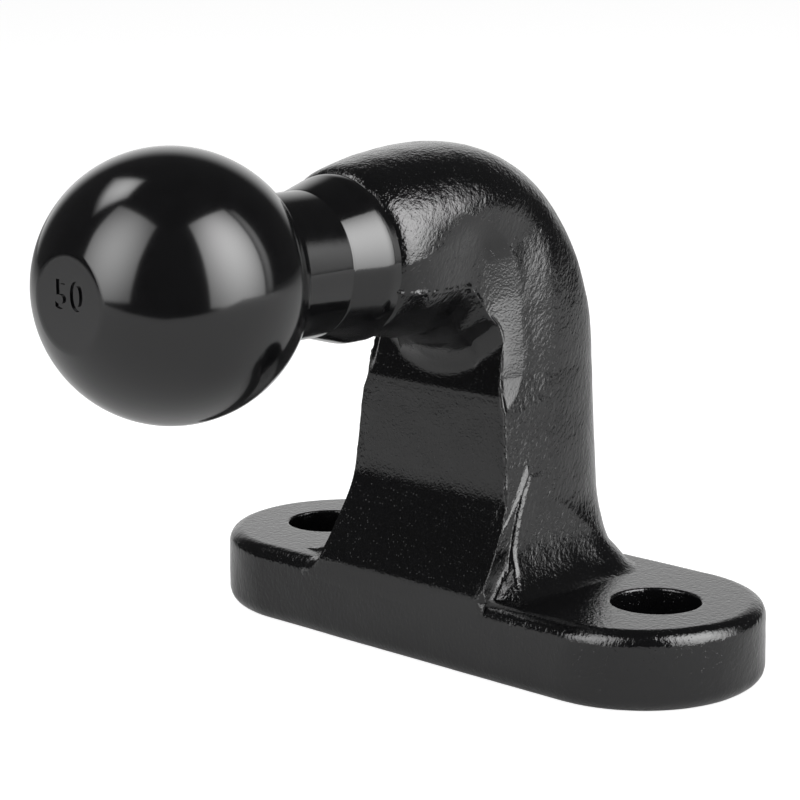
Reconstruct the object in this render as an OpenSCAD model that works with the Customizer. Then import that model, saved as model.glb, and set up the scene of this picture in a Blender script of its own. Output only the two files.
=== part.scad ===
// Flange-mounted tow ball, one steel forging.
// The flange lies on z = 0 with its mounting face down, the bolt line runs along X,
// and the arm rises from the flange, bends over and carries the ball towards -Y.
// The origin is the middle of the mounting face, halfway between the two bolt holes.

/* [Ball] */
// Diameter of the coupling ball
ball_d = 50; // [48:0.1:52]
// Diameter of the flat turned on the nose of the ball
ball_flat_d = 17.6; // [10:0.2:22]
// Distance from the bolt line forward to the centre of the ball
ball_reach = 83; // [80:0.5:92]
// Height of the centre of the ball above the mounting face
ball_height = 83.2; // [79:0.2:92]

/* [Turned neck] */
// Diameter of the neck behind the ball
neck_d = 27.8; // [25:0.2:29]
// Radius of the fillet between the ball and the neck
neck_fillet_r = 1.2; // [0.6:0.1:2]
// Diameter of the tapered collar at its front edge
collar_front_d = 30.2; // [29.2:0.1:31.4]
// Diameter of the tapered collar at its back edge
collar_back_d = 31.4; // [30.4:0.1:33.2]
// Length of the tapered collar
collar_len = 8.4; // [5:0.2:9]
// Length of the short cone that leads from the neck to the collar
collar_lead = 1; // [0.6:0.2:3]

/* [Bend] */
// Distance from the bolt line to the end of the turned collar
bend_start = 42; // [39:0.5:44]
// Diameter of the forged arm where it meets the collar
bend_root_d = 34; // [33.8:0.1:36]
// Height of the top of the bend above the axis of the ball
crown_rise = 19.9; // [18.5:0.1:23]
// Distance from the bolt line to the highest point of the bend
crown_setback = 16.5; // [12:0.5:21]
// Fullness of the outer corner of the bend, where 2 is an ellipse
bend_fullness = 2.02; // [1.95:0.01:2.2]
// Radius of the pocket under the neck
pocket_r = 8.2; // [6:0.2:10]
// Drop of the parting edge below the axis of the ball
edge_drop = 5.2; // [4:0.2:7]

/* [Stem] */
// Width of the stem just below the pocket
stem_w = 36.6; // [34:0.2:40]
// Distance from the bolt line to the flat front face of the stem
stem_front = 14.7; // [13:0.1:16]
// Distance from the bolt line to the back of the stem
stem_back = 21.8; // [19:0.1:23.4]
// Width of the flat along each side of the stem, behind the front corner
side_flat = 6.6; // [4:0.2:9]
// Squareness of the back of the stem, where 2 is an ellipse
back_squareness = 3; // [2.2:0.1:4]
// Slope of the front face in degrees
front_draft = 3.8; // [2:0.2:5]
// Slope of each side face in degrees
side_draft = 4.9; // [3:0.1:6]

/* [Foot] */
// Height above the flange at which the foot begins to spread
foot_h = 22; // [18:0.5:25]
// Radius of the fillet from the sides of the stem to the flange
foot_side_r = 18; // [14:0.5:20]
// Extra spread of each front corner at the flange
foot_corner = 3; // [1:0.2:5]

/* [Flange] */
// Overall length of the flange
flange_len = 131; // [126:0.5:140]
// Overall width of the flange
flange_w = 50; // [49:0.2:54]
// Thickness of the flange
flange_t = 16; // [13:0.5:18]
// Radius of the upper edge of the flange
top_edge_r = 3; // [1.5:0.1:4]
// Radius of the lower edge of the flange
bottom_edge_r = 3.4; // [1.5:0.1:5]

/* [Bolt holes] */
// Distance between the centres of the two bolt holes
bolt_spacing = 90; // [88:0.5:94]
// Diameter of each bolt hole
hole_d = 17.6; // [16.4:0.1:19]
// Width of the chamfer round both ends of each hole
hole_chamfer = 0.5; // [0.2:0.1:1]

/* [Hidden] */

paint_color = "#141416";
eps = 0.01;

// Number of points along the front face, each side flat and the round back
n_front = 14;
n_flat = 2;
n_back = 24;
// Number of rings in the root, the bend, the stem and the foot
n_root = 6;
n_bend = 16;
n_stem = 3;
n_foot = 10;

// Widening of the parting edges and of the sides along the root, and rise of the edges
edge_gain = 0.4;
side_gain = 0.9;
edge_rise = 0.8;
// Height of the side flats above the top of a round root
flat_room = 4.5;
// Squareness of the section where the root meets the bend
root_squareness = 2.25;
// How soon the parting edge fades round the pocket, and how late the front of the foot flares
edge_fade = 1.6;
foot_curve = 1.3;
// Lean of each side flat, from the front corner to its back line
side_lean = 0.2;
// Depth and scale of the last ring of the foot, inside the flange
sink_depth = 5;
sink_scale = 0.95;
// How far the neck runs on inside the ball and inside the arm
bury = 7;

ball_r = ball_d / 2;
neck_r = neck_d / 2;
root_r = bend_root_d / 2;
half_stem = stem_w / 2;

// Axial distances from the centre of the ball towards the bend
neck_fillet_s = sqrt(pow(ball_r + neck_fillet_r, 2) - pow(neck_r + neck_fillet_r, 2));
root_s = ball_reach - bend_start;
collar_s = root_s - collar_len;

// Centre of the pocket fillet and size of the outer curve of the bend
pocket_y = -stem_front - pocket_r;
pocket_z = ball_height - root_r - pocket_r;
crown_z = ball_height + crown_rise;
root_top_z = ball_height + root_r;
outer_b = stem_back + crown_setback;
outer_a = crown_z - pocket_z;

// Sections of the arm: half widths and the distance of each line from the inner face
edge_w_root = sqrt(root_r * root_r - edge_drop * edge_drop);
edge_w_bend = root_r + edge_gain;
side_w_bend = root_r + side_gain;
edge_v = root_r - edge_drop;
flat_cap = root_r + flat_room;
flat_y = side_flat - stem_front;

foot_top_z = flange_t + foot_h;
foot_front = flange_w / 2 - 0.1;
front_slope = tan(front_draft);
side_slope = tan(side_draft);
fillet_reach = 0.96;

function smooth(k) = k * k * (3 - 2 * k);
function mix(a, b, k) = a + (b - a) * k;
function spow(c, e) = sign(c) * pow(abs(c), e);
// The smaller of two distances, blended where they are close
function soft_min(a, b) = pow(pow(a, -4) + pow(b, -4), -0.25);

// One closed section as [x, v]: v runs from the inner face outwards.
// The front face bellies between its two edges, then come a side flat and the round back.
function section(edge_w, edge_h, side_w, side_h, depth, square) = concat(
    [for (i = [0 : n_front])
        let (a = -90 + 180 * i / n_front)
        [edge_w * sin(a), edge_h * (1 - cos(a))]],
    [for (i = [1 : n_flat])
        let (k = i / n_flat)
        [mix(edge_w, side_w, k), mix(edge_h, side_h, k)]],
    [for (i = [1 : n_back])
        let (a = 180 * i / n_back)
        [side_w * spow(cos(a), 2 / square),
         side_h + (depth - side_h) * pow(max(sin(a), 0), 2 / square)]],
    [for (i = [1 : n_flat - 1])
        let (k = i / n_flat)
        [-mix(side_w, edge_w, k), mix(side_h, edge_h, k)]]
);

// Puts a section on the line from an inner point to an outer point, both as [y, z]
function place(inner, outer, s) =
    let (d = (outer - inner) / norm(outer - inner))
    [for (p = s) [p[0], inner[0] + p[1] * d[0], inner[1] + p[1] * d[1]]];

function root_ring(k) =
    let (
        e = smooth(k),
        inner = [mix(-bend_start, pocket_y, k), ball_height - root_r],
        outer = [mix(-bend_start, -crown_setback, k), crown_z - (crown_z - root_top_z) * pow(1 - k, 2)]
    )
    place(inner, outer, section(
        mix(edge_w_root, edge_w_bend, e),
        edge_v - edge_rise * e,
        mix(root_r, side_w_bend, e),
        mix(root_r, flat_cap, e),
        norm(outer - inner),
        mix(2, root_squareness, e)));

function bend_ring(k) =
    let (
        e = smooth(k),
        a = 90 * k,
        inner = [pocket_y + pocket_r * sin(a), pocket_z + pocket_r * cos(a)],
        outer = [-crown_setback + outer_b * pow(sin(a), 2 / bend_fullness),
                 pocket_z + outer_a * pow(max(cos(a), 0), 2 / bend_fullness)],
        lean = (outer[0] - inner[0]) / norm(outer - inner)
    )
    place(inner, outer, section(
        mix(edge_w_bend, half_stem, e),
        (edge_v - edge_rise) * pow(1 - k, edge_fade),
        mix(side_w_bend, half_stem + side_lean, e),
        soft_min((flat_y - inner[0]) / lean, flat_cap),
        norm(outer - inner),
        mix(root_squareness, back_squareness, e)));

// Share of the foot passed at a height, 0 at its top and 1 on the flange
function foot_share(z) = min(max((foot_top_z - z) / foot_h, 0), 1);
function stem_half(z) = half_stem + side_slope * (pocket_z - z);
function stem_face(z) = stem_front + front_slope * (pocket_z - z);
function foot_face(z) = stem_face(z)
    + (foot_front - stem_face(flange_t)) * pow(foot_share(z), foot_curve);
function foot_fillet(z) =
    let (q = min(max(flange_t + fillet_reach * foot_side_r - z, 0), fillet_reach * foot_side_r))
    foot_side_r - sqrt(foot_side_r * foot_side_r - q * q);

function level_ring(z) = place(
    [-foot_face(z), z],
    [stem_back, z],
    section(
        stem_half(z) + foot_corner * pow(foot_share(z), 2),
        0,
        stem_half(z) + side_lean + foot_fillet(z),
        soft_min(side_flat, flat_cap),
        stem_back + foot_face(z),
        back_squareness));

// The last ring lies inside the flange, drawn in a little on every side
function buried_ring() =
    [for (p = level_ring(flange_t)) [p[0] * sink_scale, p[1] * sink_scale, flange_t - sink_depth]];

rings = concat(
    [for (i = [0 : n_root]) root_ring(i / n_root)],
    [for (i = [1 : n_bend]) bend_ring(i / n_bend)],
    [for (i = [1 : n_stem]) level_ring(mix(pocket_z, foot_top_z, i / n_stem))],
    [for (i = [1 : n_foot]) level_ring(foot_top_z - foot_h * i / n_foot)],
    [buried_ring()]
);
function ring_middle(r) = [0, (r[0][1] + r[round(n_front + n_flat + n_back / 2)][1]) / 2,
    (r[0][2] + r[round(n_front + n_flat + n_back / 2)][2]) / 2];
ring_n = len(rings[0]);
ring_count = len(rings);

// Forged arm: bend, stem and foot as one skin through the rings
module arm() {
    points = concat([for (r = rings) each r], [ring_middle(rings[0]), ring_middle(rings[ring_count - 1])]);
    first_middle = ring_count * ring_n;
    sides = [for (i = [0 : ring_count - 2]) for (j = [0 : ring_n - 1])
        let (a = i * ring_n + j, b = i * ring_n + (j + 1) % ring_n)
        each [[a, b, b + ring_n], [a, b + ring_n, a + ring_n]]];
    first = [for (j = [0 : ring_n - 1]) [first_middle, (j + 1) % ring_n, j]];
    last = [for (j = [0 : ring_n - 1])
        let (a = (ring_count - 1) * ring_n)
        [first_middle + 1, a + j, a + (j + 1) % ring_n]];
    color(paint_color)
        polyhedron(points = points, faces = concat(first, sides, last), convexity = 6);
}

// Turned ball with the flat on its nose
module ball() {
    nose = sqrt(ball_r * ball_r - pow(ball_flat_d / 2, 2));
    color(paint_color)
        translate([0, -ball_reach, ball_height])
            rotate([90, 0, 0])
                difference() {
                    sphere(r = ball_r, $fn = 96);
                    translate([-ball_r - 5, -ball_r - 5, nose])
                        cube([2 * ball_r + 10, 2 * ball_r + 10, ball_r]);
                }
}

// Turned neck and collar, as one revolved profile that starts inside the ball
// and ends inside the arm
module neck() {
    f = neck_fillet_r;
    turn = atan2(neck_fillet_s, neck_r + f);
    profile = concat(
        [[0, neck_fillet_s - bury]],
        [[neck_r + 1, neck_fillet_s - bury / 2]],
        [for (i = [0 : 5])
            let (a = mix(180 + turn + 4, 180, i / 5))
            [neck_r + f + f * cos(a), neck_fillet_s + f * sin(a)]],
        [[neck_r, collar_s - collar_lead],
         [collar_front_d / 2, collar_s],
         [collar_back_d / 2, root_s + 0.4],
         [neck_r - 1, root_s + 0.4],
         [neck_r - 1, root_s + bury],
         [0, root_s + bury]]
    );
    color(paint_color)
        translate([0, -ball_reach, ball_height])
            rotate([-90, 0, 0])
                rotate_extrude($fn = 96)
                    polygon(profile);
}

// Half profile of the flange, from its middle plane to one long side
function flange_profile(r) = concat(
    [[0, 0]],
    [for (i = [0 : 5])
        let (a = -90 + 90 * i / 5)
        [r - bottom_edge_r + bottom_edge_r * cos(a), bottom_edge_r + bottom_edge_r * sin(a)]],
    [for (i = [0 : 5])
        let (a = 90 * i / 5)
        [r - top_edge_r + top_edge_r * cos(a), flange_t - top_edge_r + top_edge_r * sin(a)]],
    [[0, flange_t]]
);

// Flange with rounded edges and half-round ends
module flange_body() {
    r = flange_w / 2;
    c = flange_len / 2 - r;
    half = flange_profile(r);
    full = concat(half, [for (i = [len(half) - 2 : -1 : 1]) [-half[i][0], half[i][1]]]);
    for (side = [0, 1])
        rotate([0, 0, 180 * side])
            translate([c, 0, 0])
                rotate([0, 0, -90])
                    rotate_extrude(angle = 180, $fn = 96)
                        polygon(half);
    rotate([90, 0, 90])
        translate([0, 0, -c])
            linear_extrude(height = 2 * c)
                polygon(full);
}

// Bolt hole with a small chamfer at both faces
module bolt_hole() {
    r = hole_d / 2;
    k = hole_chamfer;
    translate([0, 0, -1])
        cylinder(r = r, h = flange_t + foot_h, $fn = 64);
    translate([0, 0, -eps])
        cylinder(r1 = r + k + eps, r2 = r - eps, h = k + 2 * eps, $fn = 64);
    translate([0, 0, flange_t - k - eps])
        cylinder(r1 = r - eps, r2 = r + k + eps, h = k + 2 * eps, $fn = 64);
}

module flange() {
    color(paint_color) flange_body();
}

module tow_ball() {
    color(paint_color)
        difference() {
            union() {
                flange();
                arm();
                neck();
                ball();
            }
            for (side = [-1, 1])
                translate([side * bolt_spacing / 2, 0, 0])
                    bolt_hole();
        }
}

tow_ball();
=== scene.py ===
"""Dresses the forged tow ball: arm, flange, turned ball and neck, black enamel, studio."""

import math
from collections import namedtuple

import bmesh
import bpy
import numpy as np
from mathutils import Matrix, Vector, noise


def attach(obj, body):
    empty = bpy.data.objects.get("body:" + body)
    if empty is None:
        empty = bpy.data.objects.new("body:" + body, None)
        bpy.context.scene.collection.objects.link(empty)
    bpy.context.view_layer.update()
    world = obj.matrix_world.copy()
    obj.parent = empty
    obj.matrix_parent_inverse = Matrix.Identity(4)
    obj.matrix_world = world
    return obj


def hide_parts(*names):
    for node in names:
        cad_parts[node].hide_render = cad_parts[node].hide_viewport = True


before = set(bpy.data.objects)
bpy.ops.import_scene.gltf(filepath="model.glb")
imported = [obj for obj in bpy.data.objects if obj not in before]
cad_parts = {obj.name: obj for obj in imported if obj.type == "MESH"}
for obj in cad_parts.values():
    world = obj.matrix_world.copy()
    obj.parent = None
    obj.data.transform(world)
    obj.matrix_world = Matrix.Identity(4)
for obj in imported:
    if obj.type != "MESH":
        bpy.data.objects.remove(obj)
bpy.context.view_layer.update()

bl_info = {
    "name": "Forged Tow Ball",
    "version": (1, 0, 0),
    "blender": (4, 5, 0),
    "location": "View3D > Sidebar > Tow Ball",
    "description": "Builds the visible surface of a flange-mounted forged tow ball and its studio",
    "category": "Object",
}

NODE = "tow_ball"
BODY = "root"
MM = 0.001

# Rings and columns of points along each stretch of the skins
BALL_COLUMNS = 288
BALL_RINGS = 130
NECK_FILLET_RINGS = 9
NECK_RINGS = 30
LEAD_RINGS = 13
COLLAR_RINGS = 40
ROOT_RINGS = 50
BEND_RINGS = 92
STEM_RINGS = 64
FOOT_RINGS = 64
BURIED_RINGS = 12
FRONT_COLUMNS = 76
SIDE_COLUMNS = 38
BACK_COLUMNS = 126
CURVE_STEPS = 1200
FLANGE_COLUMNS = 400
EDGE_RINGS = 11
RIM_RINGS = 14
HOLE_COLUMNS = 96

# Fullness of the crown's curve and squareness of the arm's section, where 2 is an ellipse
CROWN_FULLNESS = 2.02
ROUND = 2
BEND_SQUARENESS = 2.25
STEM_SQUARENESS = 3.0
# Power by which the side fillet sets in behind the ridge of the facet
RIDGE_SHARPNESS = 8
# Half the arc that the rounded underside spans beside the collar
UNDERSIDE = math.radians(60)

# Lengths in millimetres: swell of the arm behind the collar, and rise of its front edges there
ROOT_SWELL = 1.3
EDGE_RISE = 0.8
# Where the round back begins behind the inner face: beyond the root's radius, and at the foot
FLAT_ROOM = 4.5
FOOT_FLAT = 9.5
# How far the foot stays behind the flange's front, and how far its heel swells back
FOOT_INSET = 0.03
HEEL = 1.6
# How far the side fillet ends below the flange's top, and the height where the buried skin ends
SUNK = 0.05
BURIED_END = 10.2

# The crease behind the trimmed flat under the bend, as (height, y) in millimetres
CREASE = ((51.4, -15.3), (52.5, -13.2), (54.8, -10.5), (57.7, -8.7), (62.4, -7.9), (73.7, -8.1),
          (81.3, -9.2), (85.0, -11.0), (89.0, -16.0), (92.0, -24.0))
# The ridge behind the facet of the foot, as (height, distance forward) in millimetres
RIDGE = ((16, 19), (18.2, 18), (21, 16.3), (24, 15.8), (25.9, 15.1), (28.8, 14.2), (31.8, 13),
         (35.2, 11.5), (39, 9.8))
# Section of that facet, as (distance behind the ridge, height of the skin) in millimetres
FACET = ((-0.8, -0.4), (-0.4, -0.7), (0, -0.15), (0.9, 0.2), (5, 0))

# Share of the forged roughness on the front face, on the trimmed flats and on the flange
FRONT_SKIN = 0.22
TRIMMED_SKIN = 0.14
FLANGE_SKIN = 0.65


def length(label, about, millimetres):
    """A length property whose default is given in millimetres."""
    return bpy.props.FloatProperty(
        name=label, description=about, default=millimetres * MM, min=0, unit="LENGTH", precision=4
    )


def angle(label, about, degrees):
    """An angle property whose default is given in degrees."""
    return bpy.props.FloatProperty(
        name=label, description=about, default=math.radians(degrees), subtype="ANGLE"
    )


def paint(label, about, hex_colour):
    """A colour property whose default is an sRGB hex value."""
    colour = linear(hex_colour)[:3]
    return bpy.props.FloatVectorProperty(
        name=label, description=about, default=colour, subtype="COLOR", size=3, min=0, max=1
    )


def subgroup(kind, label, about):
    """A property that holds another group of settings."""
    return bpy.props.PointerProperty(type=kind, name=label, description=about)


def linear(hex_colour):
    """Linear RGBA from an sRGB hex value such as #0c0c0d."""
    parts = [int(hex_colour[i:i + 2], 16) / 255 for i in (1, 3, 5)]
    return tuple(c / 12.92 if c <= 0.04045 else ((c + 0.055) / 1.055) ** 2.4 for c in parts) + (1,)


class TurnedSizes(bpy.types.PropertyGroup):
    """Sizes of the parts that were turned in a lathe"""

    ball_d: length("Ball diameter", "Diameter of the coupling ball", 50)
    flat_d: length("Nose flat", "Diameter of the flat on the nose of the ball", 17.6)
    reach: length("Reach", "Distance from the bolt line forward to the centre of the ball", 83)
    height: length("Height", "Height of the centre of the ball above the mounting face", 83.2)
    neck_d: length("Neck diameter", "Diameter of the neck behind the ball", 27.8)
    neck_fillet: length("Neck fillet", "Radius between the ball and the neck", 1.2)
    collar_front_d: length("Collar front", "Diameter of the collar at its front edge", 28)
    collar_back_d: length("Collar back", "Diameter of the collar at its back edge", 32.3)
    collar_len: length("Collar length", "Length of the tapered collar", 8.4)
    collar_lead: length("Collar lead", "Length of the cone that leads from the neck to the collar", 0.4)
    mark_h: length("Mark height", "Height of the size number stamped into the nose", 5.4)
    mark_depth: length("Mark depth", "Depth of the stamped size number", 0.35)


class ArmSizes(bpy.types.PropertyGroup):
    """Sizes of the forged arm"""

    start: length("Bend start", "Distance from the bolt line to the end of the turned collar", 42)
    root_d: length("Root diameter", "Diameter of the forging where it meets the collar", 34)
    crown_rise: length("Crown rise", "Height of the top of the bend above the axis of the ball", 19.9)
    crown_setback: length("Crown setback", "Distance from the bolt line to the top of the bend", 16.5)
    pocket_r: length("Pocket radius", "Radius of the pocket under the neck", 8.2)
    edge_drop: length("Edge drop", "Drop of the parting edge below the axis of the ball", 5.2)
    stem_w: length("Stem width", "Width of the stem just below the pocket", 37.6)
    stem_front: length("Stem front", "Distance from the bolt line to the front face of the stem", 14.7)
    stem_back: length("Stem back", "Distance from the bolt line to the back of the stem", 21.8)
    side_flat: length("Trimmed flat", "Width of the trimmed flat behind each front corner", 6.6)
    front_draft: angle("Front draft", "Slope of the front face", 3.8)
    side_draft: angle("Side draft", "Slope of the side faces", 4.9)
    foot_h: length("Foot height", "Height above the flange at which the foot begins to spread", 22)
    foot_r: length("Foot fillet", "Height of the fillet from the sides of the stem to the flange", 18)
    foot_reach: length("Foot reach", "Distance that the fillet spreads over the flange", 14.2)
    foot_corner: length("Foot corner", "Radius of the fillet at the left front corner", 5.7)
    burr: length("Burr", "Height of the ragged burr that trimming left along the parting edge", 0.3)
    dent: length("Hammer dents", "Depth of the shallow dents in the forged skin", 0.09)


class FlangeSizes(bpy.types.PropertyGroup):
    """Sizes of the flange and its bolt holes"""

    length_x: length("Flange length", "Overall length of the flange", 131)
    width_y: length("Flange width", "Overall width of the flange", 50)
    thick: length("Flange thickness", "Thickness of the flange", 16)
    top_r: length("Top edge", "Radius of the upper edge", 3)
    bottom_r: length("Bottom edge", "Radius of the lower edge", 3.4)
    bolts: length("Bolt spacing", "Distance between the centres of the bolt holes", 90)
    hole_d: length("Hole diameter", "Diameter of each bolt hole", 17.6)
    chamfer: length("Hole chamfer", "Width of the rounded chamfer at each end of a hole", 0.5)


class EnamelLook(bpy.types.PropertyGroup):
    """Colours and grain of the black enamel"""

    colour: paint("Enamel", "Colour of the black enamel", "#080809")
    thin_colour: paint("Thin enamel", "Colour where the enamel is thin on high spots", "#0e0e0f")
    forge_grain: length("Forge grain", "Width of the grain of the forged skin under the enamel", 0.8)
    dent_gap: length("Dent spacing", "Distance between the dents that blasting left", 1.5)
    nib_gap: length("Nib spacing", "Distance between the dust nibs in the enamel", 0.65)
    peel: length("Orange peel", "Width of the orange peel of the sprayed enamel", 0.45)
    tool_pitch: length("Tool pitch", "Spacing of the turning marks, drawn coarser than the real ones", 0.3)


class StudioSetup(bpy.types.PropertyGroup):
    """Camera, lamps and floor"""

    camera_x: length("Camera X", "Camera position along the bolt line", 361.25)
    camera_back: length("Camera distance", "Camera position in front of the bolt line", 397.6)
    camera_z: length("Camera height", "Camera height above the floor", 164.93)
    azimuth: angle("Azimuth", "Direction of the camera, from the ball's nose towards +X", 44.05)
    elevation: angle("Elevation", "Height angle of the camera", 12.13)
    roll: angle("Roll", "Roll of the camera", -0.34)
    lens: bpy.props.FloatProperty(name="Lens", description="Focal length in mm", default=122.08)
    lamp_distance: length("Lamp distance", "Distance from the ball to each softbox", 1000)
    lamp_level: bpy.props.FloatProperty(
        name="Lamp level", description="Light of each softbox, in watts per square metre", default=8.5
    )
    floor_edge: length("Floor edge", "Distance from the ball to the near edge of the floor", 290)


class TowBallSettings(bpy.types.PropertyGroup):
    """All sizes and colours of the tow ball"""

    turned: subgroup(TurnedSizes, "Turned end", "Ball, neck and collar")
    arm: subgroup(ArmSizes, "Arm", "Forged arm")
    flange: subgroup(FlangeSizes, "Flange", "Flange")
    look: subgroup(EnamelLook, "Enamel", "Black enamel")
    studio: subgroup(StudioSetup, "Studio", "Camera and light")


Ring = namedtuple("Ring", "inner outer edge_w edge_h side_w side_h square side_x")


def in_mm(group):
    """The group's lengths in millimetres and its angles as they are, as one plain object."""
    names = group.bl_rna.properties.keys()
    values = {}
    for name in names:
        if name in ("rna_type", "name"):
            continue
        value = getattr(group, name)
        is_length = group.bl_rna.properties[name].unit == "LENGTH"
        values[name] = value / MM if is_length else value
    return namedtuple("Sizes", values)(**values)


def smooth(k):
    """Eases from 0 to 1."""
    k = np.clip(k, 0, 1)
    return k * k * (3 - 2 * k)


def mix(a, b, k):
    """A value between a and b."""
    return a + (b - a) * k


def ripple(points, wavelength, seed):
    """Smooth noise between -1 and 1 at points in millimetres, with the given wavelength."""
    shift = Vector((17.3, -5.1, 9.7)) * seed
    values = [noise.noise(Vector(p) / wavelength + shift) for p in points.reshape(-1, 3)]
    return np.array(values).reshape(points.shape[:-1])


def grid_normals(points):
    """Outward normals of a closed grid of rings, from its neighbours."""
    along = np.gradient(points, axis=0)
    around = (np.roll(points, -1, axis=1) - np.roll(points, 1, axis=1)) / 2
    normals = np.cross(along, around)
    return normals / np.maximum(np.linalg.norm(normals, axis=2, keepdims=True), 1e-9)


def add_object(name, data):
    """A new object in the scene."""
    item = bpy.data.objects.new(name, data)
    bpy.context.scene.collection.objects.link(item)
    return item


def skin_object(name, points, material):
    """An object from a grid of rings in millimetres, closed at both ends."""
    rings, columns = points.shape[:2]
    index = np.arange(rings * columns).reshape(rings, columns)
    nearer = index[:-1]
    further = index[1:]
    quads = np.stack([nearer, np.roll(nearer, -1, 1), np.roll(further, -1, 1), further], axis=-1)
    faces = quads.reshape(-1, 4).tolist()
    faces.append(index[0][::-1].tolist())
    faces.append(index[-1].tolist())
    mesh = bpy.data.meshes.new(name)
    mesh.from_pydata((points.reshape(-1, 3) * MM).tolist(), [], faces)
    mesh.materials.append(material)
    mesh.shade_smooth()
    return add_object(name, mesh)


def forge_skin_attribute(mesh, skin):
    """Stores how rough the forged skin is at each point, from 0 to 1, for its material."""
    layer = mesh.attributes.new("forge_skin", "FLOAT", "POINT")
    layer.data.foreach_set("value", skin.astype(np.float32).ravel())


def keep_sharp(mesh, degrees):
    """Marks the edges that turn by more than the given angle as sharp."""
    work = bmesh.new()
    work.from_mesh(mesh)
    limit = math.radians(degrees)
    for edge in work.edges:
        if edge.is_manifold and edge.calc_face_angle(0) > limit:
            edge.smooth = False
    work.to_mesh(mesh)
    work.free()


def stands_for_the_forging(piece):
    """The piece is part of the one forging, so it replaces the CAD node and rides on its body."""
    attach(piece, BODY)
    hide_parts(NODE)


def add_node(tree, kind, settings=None, links=None):
    """Adds a shader node, sets its properties and sockets, and links its inputs."""
    node = tree.nodes.new(kind)
    for name, value in (settings or {}).items():
        if isinstance(name, str) and hasattr(node, name):
            setattr(node, name, value)
        else:
            node.inputs[name].default_value = value
    for name, source in (links or {}).items():
        tree.links.new(source, node.inputs[name])
    return node


def new_material(name):
    """An empty node material, its tree and its output node."""
    material = bpy.data.materials.new(name)
    material.use_nodes = True
    tree = material.node_tree
    tree.nodes.clear()
    output = add_node(tree, "ShaderNodeOutputMaterial")
    return material, tree, output


def millimetre_coordinates(tree):
    """Object coordinates in millimetres, so that each pattern's scale is one over its size."""
    place = add_node(tree, "ShaderNodeTexCoord")
    scaled = add_node(
        tree, "ShaderNodeVectorMath", {"operation": "SCALE", "Scale": 1 / MM},
        {0: place.outputs["Object"]},
    )
    return scaled.outputs["Vector"]


def enamel_shader(tree, output, look, tint, drift, gloss, normal):
    """Sprayed gloss enamel: a clear-looking black film, IOR 1.5, over the given bumps.

    Its colour follows tint, and its roughness drifts between the two values of gloss.
    """
    low, high = gloss
    haze = add_node(tree, "ShaderNodeMapRange", {"To Min": low, "To Max": high}, {"Value": drift})
    tone = add_node(
        tree, "ShaderNodeMix",
        {"data_type": "RGBA", 6: (*look.colour, 1), 7: (*look.thin_colour, 1)},
        {0: tint},
    )
    shader = add_node(
        tree, "ShaderNodeBsdfPrincipled", {"Metallic": 0.0, "IOR": 1.5},
        {"Base Color": tone.outputs[2], "Roughness": haze.outputs["Result"], "Normal": normal},
    )
    tree.links.new(shader.outputs["BSDF"], output.inputs["Surface"])


def enamel_on_polished_ball(look):
    """Gloss enamel on the turned and polished ball: a near mirror with a very slight wave."""
    material, tree, output = new_material("gloss_enamel_on_polished_steel")
    where = millimetre_coordinates(tree)
    wave_width = 6
    wave_depth = 0.012
    cloud_width = 4
    # The film flows out almost flat, so only a long, shallow wave bends the reflections
    wave = add_node(
        tree, "ShaderNodeTexNoise", {"Scale": 1 / wave_width, "Detail": 1.0}, {"Vector": where}
    )
    swell = add_node(
        tree, "ShaderNodeBump", {"Strength": 1.0, "Distance": wave_depth * MM},
        {"Height": wave.outputs["Fac"]},
    )
    cloud = add_node(
        tree, "ShaderNodeTexNoise", {"Scale": 1 / cloud_width, "Detail": 3.0}, {"Vector": where}
    )
    drift = cloud.outputs["Fac"]
    enamel_shader(tree, output, look, drift, drift, (0.09, 0.13), swell.outputs["Normal"])
    return material


def enamel_on_turned_neck(look):
    """Gloss enamel over fine turning marks, which show as hair lines round the neck."""
    material, tree, output = new_material("gloss_enamel_on_turned_steel")
    where = millimetre_coordinates(tree)
    cloud_width = 3
    mark_depth = 0.0006
    peel_width = 1.5
    peel_depth = 0.006
    split = add_node(tree, "ShaderNodeSeparateXYZ", None, {"Vector": where})
    cloud = add_node(
        tree, "ShaderNodeTexNoise", {"Scale": 1 / cloud_width, "Detail": 2.0}, {"Vector": where}
    )
    drift = cloud.outputs["Fac"]
    # The marks run round the neck, one for each pitch along its axis, and wander a little.
    # They are drawn coarser than the real ones, which are too fine to show
    turns = add_node(
        tree, "ShaderNodeMath", {"operation": "MULTIPLY", 1: 2 * math.pi * MM / look.tool_pitch},
        {0: split.outputs["Y"]},
    )
    wander = add_node(tree, "ShaderNodeMath", {"operation": "ADD"}, {0: turns.outputs[0], 1: drift})
    mark = add_node(tree, "ShaderNodeMath", {"operation": "SINE"}, {0: wander.outputs[0]})
    groove = add_node(
        tree, "ShaderNodeBump", {"Strength": 1.0, "Distance": mark_depth * MM},
        {"Height": mark.outputs[0]},
    )
    peel = add_node(
        tree, "ShaderNodeTexNoise", {"Scale": 1 / peel_width, "Detail": 2.0}, {"Vector": where}
    )
    film = add_node(
        tree, "ShaderNodeBump", {"Strength": 1.0, "Distance": peel_depth * MM},
        {"Height": peel.outputs["Fac"], "Normal": groove.outputs["Normal"]},
    )
    enamel_shader(tree, output, look, drift, drift, (0.07, 0.13), film.outputs["Normal"])
    return material


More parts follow.
